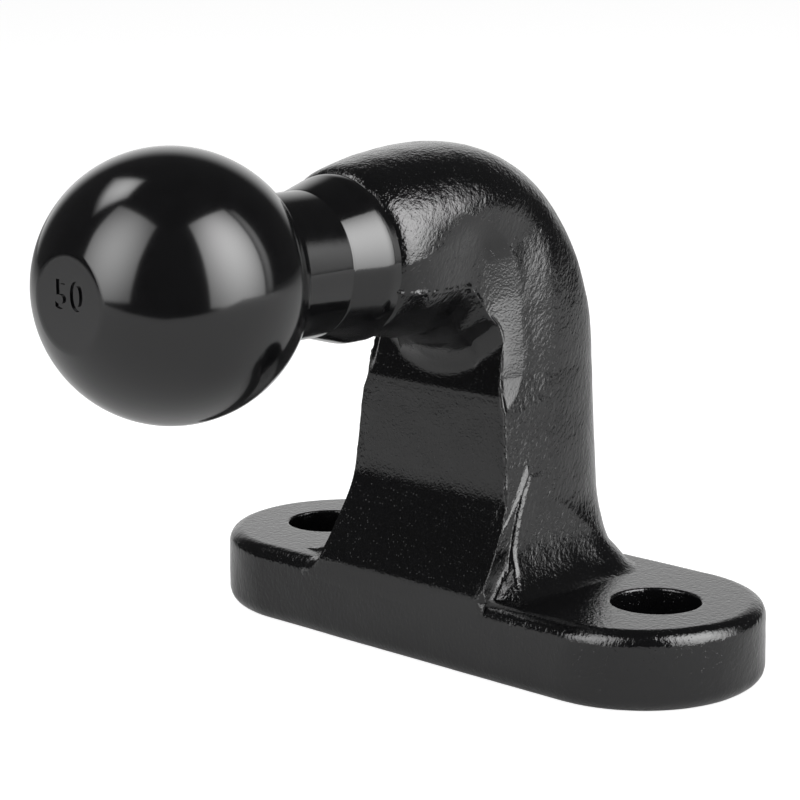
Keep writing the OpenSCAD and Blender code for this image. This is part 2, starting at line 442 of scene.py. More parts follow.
def enamel_on_forged_skin(look):
    """Gloss enamel over a forged, shot-blasted skin: the highlights break up into small flecks."""
    material, tree, output = new_material("gloss_enamel_on_forged_steel")
    where = millimetre_coordinates(tree)
    flow = math.radians(-50)
    stretch = 0.55
    skin_depth = 0.14
    peel_depth = 0.042
    nib_height = 0.04
    cloud_width = 5
    rough_skin = add_node(tree, "ShaderNodeAttribute", {"attribute_name": "forge_skin"})
    # The grain is drawn out along the flow of the steel, which leans back as it rises
    turned = add_node(
        tree, "ShaderNodeVectorRotate", {"rotation_type": "X_AXIS", "Angle": flow}, {"Vector": where}
    )
    drawn = add_node(
        tree, "ShaderNodeVectorMath", {"operation": "MULTIPLY", 1: (1, stretch, 1)},
        {0: turned.outputs[0]},
    )
    flowing = drawn.outputs[0]
    grain = add_node(
        tree, "ShaderNodeTexNoise",
        {"Scale": MM / look.forge_grain, "Detail": 2.0, "Roughness": 0.55},
        {"Vector": flowing},
    )
    # Blasting left a small dent in the middle of each cell
    cells = add_node(
        tree, "ShaderNodeTexVoronoi", {"Scale": MM / look.dent_gap}, {"Vector": flowing}
    )
    dent = add_node(
        tree, "ShaderNodeMapRange",
        {"interpolation_type": "SMOOTHSTEP", "From Min": 0.05, "From Max": 0.36, "To Min": -0.22,
         "To Max": 0.0},
        {"Value": cells.outputs["Distance"]},
    )
    both = add_node(
        tree, "ShaderNodeMath", {"operation": "ADD"},
        {0: grain.outputs["Fac"], 1: dent.outputs["Result"]},
    )
    depth = add_node(
        tree, "ShaderNodeMath", {"operation": "MULTIPLY"},
        {0: both.outputs[0], 1: rough_skin.outputs["Fac"]},
    )
    forged = add_node(
        tree, "ShaderNodeBump", {"Strength": 1.0, "Distance": skin_depth * MM},
        {"Height": depth.outputs[0]},
    )
    peel = add_node(
        tree, "ShaderNodeTexNoise", {"Scale": MM / look.peel, "Detail": 2.0}, {"Vector": where}
    )
    film = add_node(
        tree, "ShaderNodeBump", {"Strength": 1.0, "Distance": peel_depth * MM},
        {"Height": peel.outputs["Fac"], "Normal": forged.outputs["Normal"]},
    )
    # Dust nibs in the film: a dome in the middle of each cell whose random value is high
    specks = add_node(tree, "ShaderNodeTexVoronoi", {"Scale": MM / look.nib_gap}, {"Vector": where})
    nib = add_node(
        tree, "ShaderNodeMapRange",
        {"interpolation_type": "SMOOTHSTEP", "From Min": 0.0, "From Max": 0.24, "To Min": 1.0,
         "To Max": 0.0},
        {"Value": specks.outputs["Distance"]},
    )
    chosen = add_node(
        tree, "ShaderNodeMath", {"operation": "GREATER_THAN", 1: 0.45}, {0: specks.outputs["Color"]}
    )
    risen = add_node(
        tree, "ShaderNodeMath", {"operation": "MULTIPLY"},
        {0: nib.outputs["Result"], 1: chosen.outputs[0]},
    )
    nibs = add_node(
        tree, "ShaderNodeBump", {"Strength": 1.0, "Distance": nib_height * MM},
        {"Height": risen.outputs[0], "Normal": film.outputs["Normal"]},
    )
    cloud = add_node(
        tree, "ShaderNodeTexNoise", {"Scale": 1 / cloud_width, "Detail": 3.0}, {"Vector": where}
    )
    tint = grain.outputs["Fac"]
    drift = cloud.outputs["Fac"]
    enamel_shader(tree, output, look, tint, drift, (0.07, 0.15), nibs.outputs["Normal"])
    return material


def ball_surface(t):
    """Points of the ball's meridian from the nose to the neck fillet, as (axial, radius)."""
    r = t.ball_d / 2
    flat_r = t.flat_d / 2
    neck_r = t.neck_d / 2
    f = t.neck_fillet
    nose = math.sqrt(r * r - flat_r * flat_r)
    fillet_s = math.sqrt((r + f) ** 2 - (neck_r + f) ** 2)
    turn = math.atan2(neck_r + f, fillet_s)
    # Three rings round over the rim of the flat
    soften = 0.35
    points = [
        (-nose, flat_r - 2.2 * soften),
        (-nose, flat_r - soften),
        (-nose + 0.05, flat_r - 0.3 * soften),
    ]
    first = math.asin(flat_r / r) + 0.7 * soften / r
    for k in np.linspace(0, 1, BALL_RINGS):
        a = mix(first, math.pi - turn, k)
        points.append((-r * math.cos(a), r * math.sin(a)))
    for k in np.linspace(0, 1, NECK_FILLET_RINGS)[1:]:
        a = mix(turn, math.pi / 2, k)
        points.append((fillet_s - f * math.cos(a), neck_r + f - f * math.sin(a)))
    return points


def neck_surface(t, arm):
    """Points of the neck and the tapered collar, as (axial, radius)."""
    neck_r = t.neck_d / 2
    front_r = t.collar_front_d / 2
    back_r = t.collar_back_d / 2
    end = t.reach - arm.start
    collar = end - t.collar_len
    ramp = collar - t.collar_lead
    start = math.sqrt((t.ball_d / 2 + t.neck_fillet) ** 2 - (neck_r + t.neck_fillet) ** 2)
    points = [(s, neck_r) for s in np.linspace(start, ramp, NECK_RINGS)[1:]]
    for k in np.linspace(0, 1, LEAD_RINGS)[1:]:
        points.append((mix(ramp, collar, k), mix(neck_r, front_r, k**1.6)))
    # The cone is full just in front of the forging and runs on inside it, where it is closed
    level = end - 0.8
    run_out = 2.6
    softness = 0.25
    slope = (back_r - front_r) / (level - collar)
    for s in np.linspace(collar, end + run_out, COLLAR_RINGS)[1:]:
        points.append((s, soft_below(front_r + slope * (s - collar), back_r, softness)))
    points.append((end + run_out + 0.2, neck_r - 3))
    return points


def revolve(profile, columns, reach, height):
    """Rings of points round the axis of the ball, which points to -Y."""
    turn = np.linspace(0, 2 * math.pi, columns, endpoint=False)
    rings = []
    for s, r in profile:
        x = r * np.cos(turn)
        z = height + r * np.sin(turn)
        rings.append(np.stack([x, np.full(columns, s - reach), z], axis=-1))
    return np.array(rings)


def arm_sizes(a, t, flange):
    """The arm's derived sizes: pocket centre, crown, outer curve and the lines of its section."""
    root_r = a.root_d / 2
    pocket_z = t.height - root_r - a.pocket_r
    crown_z = t.height + a.crown_rise
    values = {
        "root_r": root_r,
        "pocket_y": -a.stem_front - a.pocket_r,
        "pocket_z": pocket_z,
        "crown_z": crown_z,
        "outer_a": crown_z - pocket_z,
        "outer_b": a.stem_back + a.crown_setback,
        "edge_v": root_r - a.edge_drop,
        "edge_w_root": math.sqrt(root_r**2 - a.edge_drop**2),
        "flat_cap": root_r + FLAT_ROOM,
        "half": a.stem_w / 2,
        "foot_top": flange.thick + a.foot_h,
        "foot_front": flange.width_y / 2 - FOOT_INSET,
        "axis_z": t.height,
        "flange_t": flange.thick,
        "flange_edge": flange.top_r,
    }
    return namedtuple("Derived", values)(**values)


def soft_min(a, b):
    """The smaller of two distances, blended where they are close."""
    return (a**-4.0 + b**-4.0) ** -0.25


def root_ring(a, d, k):
    """Section of the arm between the collar and the bend; it widens fast behind the collar."""
    e = smooth(k)
    swell = ROOT_SWELL * (1 - (1 - k) ** 2.5)
    inner = np.array([mix(-a.start, d.pocket_y, k), d.axis_z - d.root_r])
    top = d.crown_z - (d.crown_z - d.axis_z - d.root_r) * (1 - k) ** 2
    outer = np.array([mix(-a.start, -a.crown_setback, k), top])
    return Ring(
        inner,
        outer,
        d.edge_w_root + swell,
        d.edge_v - EDGE_RISE * e,
        d.root_r + swell,
        mix(d.root_r, d.flat_cap, e),
        mix(ROUND, BEND_SQUARENESS, e),
        None,
    )


def bend_ring(a, d, k):
    """Section of the arm round the pocket and under the crown."""
    e = smooth(k)
    t = math.pi / 2 * k
    inner = np.array([d.pocket_y + a.pocket_r * math.sin(t), d.pocket_z + a.pocket_r * math.cos(t)])
    power = 2 / CROWN_FULLNESS
    outer = np.array([
        -a.crown_setback + d.outer_b * math.sin(t) ** power,
        d.pocket_z + d.outer_a * max(math.cos(t), 0) ** power,
    ])
    depth = np.linalg.norm(outer - inner)
    lean = (outer[0] - inner[0]) / depth
    flat_y = a.side_flat - a.stem_front
    return Ring(
        inner,
        outer,
        mix(d.edge_w_root + ROOT_SWELL, d.half, e),
        (d.edge_v - EDGE_RISE) * (1 - k) ** 1.6,
        mix(d.root_r + ROOT_SWELL, d.half, e),
        soft_min((flat_y - inner[0]) / lean, d.flat_cap),
        mix(BEND_SQUARENESS, STEM_SQUARENESS, e),
        None,
    )


def soft_below(value, limit, softness):
    """The value held below a limit, rounded over where it reaches it."""
    h = np.clip(0.5 + 0.5 * (value - limit) / softness, 0, 1)
    return mix(value, limit, h) - softness * h * (1 - h)


def flare_face(a, d, z):
    """Distance of the stem's front face from the bolt line, down to the flange's front."""
    start = 4.4
    softness = 1.6
    most = 1.4
    blend = 1.4
    fall = softness * np.logaddexp(0, (d.foot_top - start - z) / softness)
    share = np.clip(fall / (a.foot_h - start), 0, most)
    plain = a.stem_front + math.tan(a.front_draft) * (d.pocket_z - z)
    at_flange = a.stem_front + math.tan(a.front_draft) * (d.pocket_z - d.flange_t)
    flare = plain + (d.foot_front + blend - at_flange) * share**1.25
    # Inside the flange the face draws back, so that it never shows through the flange's front
    sink = 0.35 * np.clip((d.flange_t - 2 - z) / 4, 0, 1) ** 2
    return soft_below(flare, d.foot_front, blend) - sink


def ridge_line(z):
    """Distance from the bolt line forward to the ridge behind the trimmed facet of the foot."""
    heights, distances = np.array(RIDGE).T
    return np.interp(z, heights, distances)


def level_ring(a, d, z, spread):
    """Horizontal section of the stem and foot; spread is how far the side fillet has run out."""
    share = float(smooth((d.foot_top - z) / a.foot_h))
    front = float(flare_face(a, d, z))
    width = d.half + math.tan(a.side_draft) * (d.pocket_z - max(z, d.flange_t))
    ridge = front - float(ridge_line(z))

    def side_x(v):
        return width + spread * np.clip(v / ridge, 0, 1) ** RIDGE_SHARPNESS

    back = a.stem_back + HEEL * smooth((share - 0.88) / 0.12)
    return Ring(
        np.array([-front, z]),
        np.array([back, z]),
        width,
        0.0,
        width + spread,
        mix(a.side_flat, FOOT_FLAT, share),
        STEM_SQUARENESS,
        side_x,
    )


def ring_points(ring):
    """Points of one closed section, starting at the left front corner, on the row's plane."""
    depth = np.linalg.norm(ring.outer - ring.inner)
    a = np.linspace(-UNDERSIDE, UNDERSIDE, FRONT_COLUMNS + 1)
    front_x = ring.edge_w * np.sin(a) / math.sin(UNDERSIDE)
    front_v = ring.edge_h * (1 - np.cos(a)) / (1 - math.cos(UNDERSIDE))
    front = np.stack([front_x, front_v], axis=-1)
    k = np.linspace(0, 1, SIDE_COLUMNS + 1)
    k = mix(k, k * k, 0.5)
    side_v = mix(ring.edge_h, ring.side_h, k)
    side_x = ring.side_x(side_v) if ring.side_x else mix(ring.edge_w, ring.side_w, k)
    side = np.stack([side_x, side_v], axis=-1)
    # The back is drawn finely first, then divided into even steps
    b = np.linspace(0, math.pi, CURVE_STEPS)
    power = 2 / ring.square
    back_x = ring.side_w * np.sign(np.cos(b)) * np.abs(np.cos(b)) ** power
    back_v = ring.side_h + (depth - ring.side_h) * np.sin(b) ** power
    run = np.concatenate([[0], np.cumsum(np.hypot(np.diff(back_x), np.diff(back_v)))])
    even = np.linspace(0, run[-1], BACK_COLUMNS + 1)
    back = np.stack([np.interp(even, run, back_x), np.interp(even, run, back_v)], axis=-1)
    other = side[::-1] * [-1, 1]
    outline = np.concatenate([front, side[1:], back[1:], other[1:-1]])
    d = (ring.outer - ring.inner) / depth
    y = ring.inner[0] + outline[:, 1] * d[0]
    z = ring.inner[1] + outline[:, 1] * d[1]
    return np.stack([outline[:, 0], y, z], axis=-1)


def arm_points(a, d):
    """The whole skin of the arm, ring by ring, before trimming and dents."""
    rings = [root_ring(a, d, k) for k in np.linspace(0, 1, ROOT_RINGS)]
    rings += [bend_ring(a, d, k) for k in np.linspace(0, 1, BEND_RINGS)[1:]]
    fillet_top = d.flange_t + a.foot_r - SUNK
    rings += [level_ring(a, d, z, 0) for z in np.linspace(d.pocket_z, fillet_top, STEM_RINGS)[1:]]
    for turn in np.linspace(0, math.pi / 2, FOOT_RINGS)[1:]:
        z = fillet_top - a.foot_r * math.sin(turn)
        rings.append(level_ring(a, d, z, a.foot_reach * (1 - math.cos(turn))))
    for z in np.linspace(d.flange_t - 0.4, BURIED_END, BURIED_RINGS):
        rings.append(level_ring(a, d, z, a.foot_reach))
    return np.array([ring_points(ring) for ring in rings])


def shape_root(points, a, d):
    """The forging rises steeply out of the turned collar, along an uneven line."""
    x, y, z = points[..., 0], points[..., 1], points[..., 2]
    turn = np.arctan2(z - d.axis_z, np.abs(x))
    wander = 0.6
    step = 2.8
    step_run = 1.25
    underside_cut = 1.9
    line = -a.start + wander + wander * np.sin(2.5 * turn + 1.7)
    line = line + 0.5 * ripple(points * [1, 0, 1], 5, 11)
    past = np.clip(y - line + 1.0, 0, None)
    low = step * np.exp(-past / step_run) * (y < -a.start + 12)
    under = underside_cut * smooth((-turn - 0.7) / 0.7) * smooth((-27 - y) / 12)
    radius = np.maximum(np.hypot(x, z - d.axis_z), 1)
    scale = 1 - (low + under) / radius
    return np.stack([x * scale, y, d.axis_z + (z - d.axis_z) * scale], axis=-1)


def ahead_of_crease(points):
    """Distance of each point in front of the crease that bounds the trimmed flat under the bend."""
    heights, lines = np.array(CREASE).T
    return np.interp(points[..., 2], heights, lines) - points[..., 1]


def on_trimmed_flat(points):
    """1 on the smooth flat that the trimming tool left under the bend, 0 elsewhere."""
    ahead = ahead_of_crease(points)
    z = points[..., 2]
    beside = smooth(ahead / 0.6) * smooth((8.5 - ahead) / 3)
    return beside * (z > CREASE[0][0]) * (z < CREASE[-1][0])


def narrow_fillet(points, a, d):
    """Towards the front the fillet at the sides is lower and spreads less."""
    x, y, z = points[..., 0], points[..., 1], points[..., 2]
    front_radius = 10.5
    front_reach = 7.5
    back = smooth((y - 3) / 16)
    radius = mix(front_radius, a.foot_r, back)
    reach = mix(front_reach, a.foot_reach, back)

    def spread(radius, reach):
        q = np.clip((d.flange_t + radius - SUNK - z) / radius, 0, 1)
        return reach * (1 - np.sqrt(1 - q**2))

    whole = spread(a.foot_r, a.foot_reach)
    share = spread(radius, reach) / np.maximum(whole, 1e-6)
    width = d.half + math.tan(a.side_draft) * (d.pocket_z - np.maximum(z, d.flange_t))
    beyond = np.clip(np.abs(x) - width, 0, None) * (whole > 1e-3)
    return np.stack([x - np.sign(x) * beyond * (1 - share), y, z], axis=-1)


def trimmed_flat(points):
    """How far the flat behind each front corner is cut back; it grows upwards and forwards."""
    x, y, z = points[..., 0], points[..., 1], points[..., 2]
    lean_slope = 0.16
    tilt_slope = 0.057
    flat_width = 6.5
    rise = np.clip(z - CREASE[0][0], 0, None)
    lean = lean_slope * np.clip(ahead_of_crease(points), 0, flat_width) * smooth(rise / 0.8)
    tilt = tilt_slope * rise * smooth((3 - y) / 11)
    depth = (lean + tilt) * smooth((y + 36) / 20) * smooth((95 - z) / 12)
    return depth * smooth((np.abs(x) - 9) / 4)


def stepped_facet(points, a, d):
    """How far the facet and its two thin ridges stand out at the right front corner of the foot."""
    x, y, z = points[..., 0], points[..., 1], points[..., 2]
    facet_width = 6.3
    upper_ridge = 28.4
    ridge_climb = 10.2
    v = y + flare_face(a, d, z)
    step = y + ridge_line(z)
    across = np.clip(v / facet_width, 0, 1)
    over = z - (upper_ridge + ridge_climb * across)
    below = smooth(-over / 0.4) * smooth(v / 0.6)
    behind, heights = np.array(FACET).T
    facet = np.interp(step, behind, heights) * below
    facet = facet - 0.11 * np.clip(25 - z, 0, None) * below * smooth(-step / 1.5)
    reach = mix(1.4, 3.4, across)
    swell = 0.17 * np.clip(reach - over, 0, None) * (over > 0) * smooth((0.3 - step) / 0.35)
    near_foot = (z < 43) & (step < 5) & (v > -0.5) & (x > d.half - 2)
    return np.where(near_foot, swell + facet, 0)


def trim_sides(points, a, d):
    """The trimming tool left a flat behind each front corner, and a stepped facet at one foot."""
    change = np.sign(points[..., 0]) * (stepped_facet(points, a, d) - trimmed_flat(points))
    return points + np.stack([change, 0 * change, 0 * change], axis=-1)


def flare_corners(points, a, d):
    """The left front corner runs out in a small fillet; the right one sinks into the flange."""
    x, y, z = points[..., 0], points[..., 1], points[..., 2]
    edge = d.flange_edge
    radius = a.foot_corner
    sunk = 0.1
    v = np.clip(y + d.foot_front, 0, None)
    rounded = np.sqrt(np.maximum(edge**2 - np.clip(edge - v, 0, edge) ** 2, 0))
    base = d.flange_t - edge + rounded - sunk
    width = d.half + math.tan(a.side_draft) * (d.pocket_z - d.flange_t)
    q = np.clip(base + radius - z, 0, radius)
    flare = radius - np.sqrt(np.maximum(radius**2 - q**2, 0))
    share = np.clip((-x - 6) / (width - 6), 0, 1) ** 3
    x = x - flare * share * smooth((11 - v) / 6)
    # On the right the face follows the flange's rounded edge, a little inside it
    inside = 0.3
    inset = edge - np.sqrt(edge**2 - np.clip(z - d.flange_t + edge, 0, edge) ** 2)
    fade = smooth((x - 20.5) / 4.5) * smooth((d.flange_t + 5 - z) / 5)
    y = np.where(fade > 0, np.maximum(y, (inside + inset) * fade - d.foot_front), y)
    return np.stack([x, y, z], axis=-1)


def round_lip(points, a, d):
    """The front face leans back above a level line, up to the round rim of the pocket."""
    x, y, z = points[..., 0], points[..., 1], points[..., 2]
    start = 54.3
    rim = 57 + 0.024 * x**2
    rim_softness = 1.4
    blend = 1.2
    deepest = 3.5
    face = -a.stem_front - math.tan(a.front_draft) * (d.pocket_z - start)
    held = soft_below(z, rim, rim_softness)
    rise = np.clip(held - start, 0, None)
    q = np.clip(z - held, 0, 0.98 * a.pocket_r)
    curve = a.pocket_r - np.sqrt(a.pocket_r**2 - q**2)
    target = face + 0.15 * (np.sqrt(rise**2 + blend) - math.sqrt(blend)) + 0.1 * rise - curve
    cut = np.clip(target - y, 0, deepest)
    near = smooth((z - start + 1) / 1) * smooth((rim + 7 - z) / 3)
    near = near * smooth((d.half + 0.3 - np.abs(x)) / 1.2)
    near = near * smooth((y + 24) / 3) * smooth((-10 - y) / 2)
    return points + np.stack([0 * x, cut * near, 0 * x], axis=-1)


def edge_burr(points, a):
    """Height of the ragged burr at each point, along the two parting edges."""
    columns = points.shape[1]
    column = np.arange(columns)
    corner = np.where(np.abs(column - FRONT_COLUMNS) < columns / 3, FRONT_COLUMNS, 0)
    at_corner = points[:, corner]
    burr_width = 0.4
    from_edge = np.linalg.norm(points - at_corner, axis=2)
    on_edge = np.exp(-((from_edge / burr_width) ** 2))
    teeth = 1.1 * ripple(at_corner, 2.6, 1) + 0.8 * ripple(at_corner, 0.9, 2)
    ragged = 0.5 + np.clip(teeth, -0.5, 1.4)
    # It ends above the foot and at the collar, and is lower on the left side of the stem
    z = at_corner[..., 2]
    reach = smooth((z - 30) / 4) * smooth((at_corner[..., 1] + a.start + 0.5) / 2)
    left = mix(1.0, 0.3, smooth((60 - z) / 8)) * (corner == 0) + (corner != 0)
    return a.burr * on_edge * reach * ragged * left


def forging_dents(points, a, d):
    """Height of the shallow dents, calmer on the front face and the trimmed flats."""
    column = np.arange(points.shape[1])
    is_front = smooth((column - 2) / 6) * smooth((FRONT_COLUMNS - 2 - column) / 6)
    calm = mix(1.0, 0.4, is_front)[None, :]
    calm = calm * mix(1.0, 0.15, on_trimmed_flat(points))
    dents = a.dent * (1.2 * ripple(points, 6.5, 3) + 0.4 * ripple(points, 2.6, 4)) * calm
    return dents * smooth((points[..., 2] - d.flange_t + 0.5) / 4)


def roughen(points, a, d):
    """Raises the burr along the parting edges and presses shallow dents into the forged skin."""
    burr = edge_burr(points, a)
    out = burr + forging_dents(points, a, d)
    forward = np.stack([0 * out, -0.8 * burr, -0.3 * burr], axis=-1)
    return points + grid_normals(points) * out[..., None] + forward


def arm_skin(points):
    """Roughness of the skin: full on the back and sides, less on trimmed flats and the front."""
    rings, columns = points.shape[:2]
    column = np.arange(columns)
    in_front = smooth((column - 1) / 8) * smooth((FRONT_COLUMNS - 1 - column) / 8)
    skin = np.tile(mix(1.0, FRONT_SKIN, in_front), (rings, 1))
    return mix(skin, TRIMMED_SKIN, on_trimmed_flat(points))


def make_arm(settings):
    """The forged arm: root, bend, stem and foot as one skin."""
    a = in_mm(settings.arm)
    d = arm_sizes(a, in_mm(settings.turned), in_mm(settings.flange))
    points = arm_points(a, d)
    for shape in (narrow_fillet, round_lip, trim_sides, shape_root, flare_corners, roughen):
        points = shape(points, a, d)
    # A smaller ring closes the end inside the collar
    middle = np.array([0, points[0, 0, 1] - 0.6, d.axis_z])
    points = np.concatenate([mix(middle, points[0], 0.9)[None], points])
    arm = skin_object("forged_arm", points, enamel_on_forged_skin(settings.look))
    forge_skin_attribute(arm.data, arm_skin(points))
    stands_for_the_forging(arm)


def stadium(flange, inset, columns):
    """Outline of the flange, inset from its edge, with the same number of points for each inset."""
    r = flange.width_y / 2
    c = flange.length_x / 2 - r
    straight = 2 * c
    around = math.pi * r
    s = np.linspace(0, 2 * (straight + around), columns, endpoint=False)
    side = s // (straight + around)
    u = s - side * (straight + around)
    on_line = u < straight
    turn = (u - straight) / r
    x = np.where(on_line, u - c, c + (r - inset) * np.sin(turn))
    y = np.where(on_line, -(r - inset), -(r - inset) * np.cos(turn))
    flip = np.where(side == 1, -1, 1)
    return np.stack([x * flip, y * flip], axis=-1)


def flange_rings(flange, columns):
    """Rings of the flange's outer surface, from its underside up to its top."""
    rows = [(flange.bottom_r + 1.2, 0.0), (flange.bottom_r + 0.4, 0.0)]
    for t in np.linspace(0, 1, EDGE_RINGS) * math.pi / 2:
        rows.append((flange.bottom_r * (1 - math.sin(t)), flange.bottom_r * (1 - math.cos(t))))
    for z in np.linspace(flange.bottom_r, flange.thick - flange.top_r, RIM_RINGS)[1:]:
        rows.append((0.0, z))
    for t in np.linspace(0, 1, EDGE_RINGS)[1:] * math.pi / 2:
        rows.append((flange.top_r * (1 - math.cos(t)), flange.thick - flange.top_r * (1 - math.sin(t))))
    rows += [(flange.top_r + 0.4, flange.thick), (flange.top_r + 1.2, flange.thick)]
    rings = []
    for inset, z in rows:
        outline = stadium(flange, inset, columns)
        rings.append(np.concatenate([outline, np.full((columns, 1), z)], axis=1))
    return np.array(rings)


def hole_rings(flange, centre_x, columns):
    """Rings of one bolt hole, from its lower rim up to its upper rim."""
    r = flange.hole_d / 2
    c = flange.chamfer
    rows = [(r + c + 0.8, 0.0), (r + c + 0.2, 0.0)]
    rows += [(r + c * (1 - math.sin(t)), c * (1 - math.cos(t))) for t in np.linspace(0, math.pi / 2, 5)]
    rows += [(r, z) for z in np.linspace(c, flange.thick - c, 6)[1:-1]]
    upper = [(radius, flange.thick - z) for radius, z in rows[:7]]
    rows += upper[::-1]
    turn = np.linspace(0, 2 * math.pi, columns, endpoint=False)
    rings = []
    for radius, z in rows:
        x = centre_x + radius * np.cos(turn)
        rings.append(np.stack([x, radius * np.sin(turn), np.full(columns, z)], axis=-1))
    return np.array(rings)


def add_tube(work, rings):
    """Adds open rings of points to a mesh under work and returns its first and last edge loops."""
    rows = [[work.verts.new(Vector(p) * MM) for p in ring] for ring in rings]
    count = len(rows[0])
    for low, high in zip(rows, rows[1:]):
        for i in range(count):
            j = (i + 1) % count
            work.faces.new((low[i], low[j], high[j], high[i]))
    loops = []
    for row in (rows[0], rows[-1]):
        loops.append([work.edges.get((row[i], row[(i + 1) % count])) for i in range(count)])
    return loops


def wave_edge(outer):
    """Draws the forged edge of the flange back in small waves, deeper ones away from the stem."""
    centre_line = np.zeros_like(outer)
    centre_line[..., 0] = np.clip(outer[..., 0], -40, 40)
    away = outer - centre_line
    away[..., 2] = 0
    away /= np.maximum(np.linalg.norm(away, axis=2, keepdims=True), 1e-9)
    # The three rings on each flat face stay where they are
    on_edge = np.ones(len(outer))
    on_edge[:3] = 0
    on_edge[-3:] = 0
    clear = smooth((np.abs(outer[..., 0]) - 24) / 14)
    wave = 0.1 * ripple(outer, 11, 5) + 0.05 * ripple(outer, 3.2, 6) - 0.1
    wave = np.minimum(wave + clear * (0.18 * ripple(outer, 13, 7) - 0.1), -0.02)
    return outer + away * (wave * on_edge[:, None])[..., None]


def make_flange(settings):
    """The flange, with rounded edges and two bolt holes."""
    flange = in_mm(settings.flange)
    tubes = [wave_edge(flange_rings(flange, FLANGE_COLUMNS))]
    for side in (-1, 1):
        tubes.append(hole_rings(flange, side * flange.bolts / 2, HOLE_COLUMNS)[:, ::-1])
    work = bmesh.new()
    bottom, top = [], []
    for rings in tubes:
        low, high = add_tube(work, rings)
        bottom += low
        top += high
    bmesh.ops.triangle_fill(work, edges=bottom, use_beauty=True, normal=Vector((0, 0, -1)))
    bmesh.ops.triangle_fill(work, edges=top, use_beauty=True, normal=Vector((0, 0, 1)))
    bmesh.ops.recalc_face_normals(work, faces=work.faces)
    mesh = bpy.data.meshes.new("flange")
    work.to_mesh(mesh)
    work.free()
    mesh.materials.append(enamel_on_forged_skin(settings.look))
    mesh.shade_smooth()
    forge_skin_attribute(mesh, np.full(len(mesh.vertices), FLANGE_SKIN))
    stands_for_the_forging(add_object("flange", mesh))


def stamped_number(t):
    """The ball's diameter in millimetres, as a solid that cuts the stamped number."""
    size_per_height = 1.35
    bolder = 0.09
    spacing = 1.15
    text = bpy.data.curves.new("size_number", "FONT")
    text.body = str(round(t.ball_d))
    text.align_x = "CENTER"
    text.align_y = "CENTER"
    text.size = t.mark_h * MM * size_per_height
    text.extrude = t.mark_depth * MM
    text.offset = bolder * MM
    text.space_character = spacing
    holder = add_object("size_number", text)
    nose = math.sqrt((t.ball_d / 2) ** 2 - (t.flat_d / 2) ** 2)
    place = Matrix.Translation(Vector((0, -t.reach - nose, t.height + t.mark_h / 5)) * MM)
    holder.matrix_world = place @ Matrix.Rotation(math.pi / 2, 4, "X")
    bpy.context.view_layer.update()
    graph = bpy.context.evaluated_depsgraph_get()
    mesh = bpy.data.meshes.new_from_object(holder.evaluated_get(graph))
    mesh.transform(holder.matrix_world)
    cutter = add_object("number_cutter", mesh)
    bpy.data.objects.remove(holder)
    return cutter


def stamp_number(piece, t):
    """Cuts the size number into the flat on the nose."""
    cutter = stamped_number(t)
    cut = piece.modifiers.new("number", "BOOLEAN")
    cut.operation = "DIFFERENCE"
    cut.solver = "EXACT"
    cut.object = cutter
    graph = bpy.context.evaluated_depsgraph_get()
    mesh = bpy.data.meshes.new_from_object(piece.evaluated_get(graph))
    piece.modifiers.clear()
    piece.data = mesh
    bpy.data.objects.remove(cutter)


def make_turned_end(settings):
    """The ball, its nose flat, the neck and the collar, all turned on one axis."""
    t = in_mm(settings.turned)
    ball_points = ball_surface(t)
    neck_points = neck_surface(t, in_mm(settings.arm))
    rings = revolve(ball_points + neck_points, BALL_COLUMNS, t.reach, t.height)
    piece = skin_object("turned_ball_and_neck", rings, enamel_on_polished_ball(settings.look))
    piece.data.materials.append(enamel_on_turned_neck(settings.look))
    first_neck_ring = len(ball_points) - 3
    for face in piece.data.polygons:
        if first_neck_ring <= face.index // BALL_COLUMNS < len(rings) - 1:
            face.material_index = 1
    stamp_number(piece, t)
    sharp_from = 25
    keep_sharp(piece.data, sharp_from)
    stands_for_the_forging(piece)


def toward(azimuth, elevation):
    """Unit vector at an azimuth, from -Y towards +X, and an elevation, both in radians."""
    flat = math.cos(elevation)
    return Vector((math.sin(azimuth) * flat, -math.cos(azimuth) * flat, math.sin(elevation)))


def make_camera(studio):
    """The camera that took the photograph, solved from the ball and the bolt holes."""
    sensor = 36
    shift_x = -0.0014
    shift_y = -0.001
    back = toward(studio.azimuth, studio.elevation)
    right = Vector((0, 0, 1)).cross(back).normalized()
    up = back.cross(right)
    turn = Matrix.Rotation(studio.roll, 3, back)
    axes = Matrix((turn @ right, turn @ up, back)).transposed()
    data = bpy.data.cameras.new("camera")
    data.sensor_width = sensor
    data.lens = studio.lens
    data.shift_x = shift_x
    data.shift_y = shift_y
    data.clip_start = 0.01
    camera = add_object("camera", data)
    place = Vector((studio.camera_x, -studio.camera_back, studio.camera_z))
    camera.matrix_world = Matrix.Translation(place) @ axes.to_4x4()
    bpy.context.scene.camera = camera


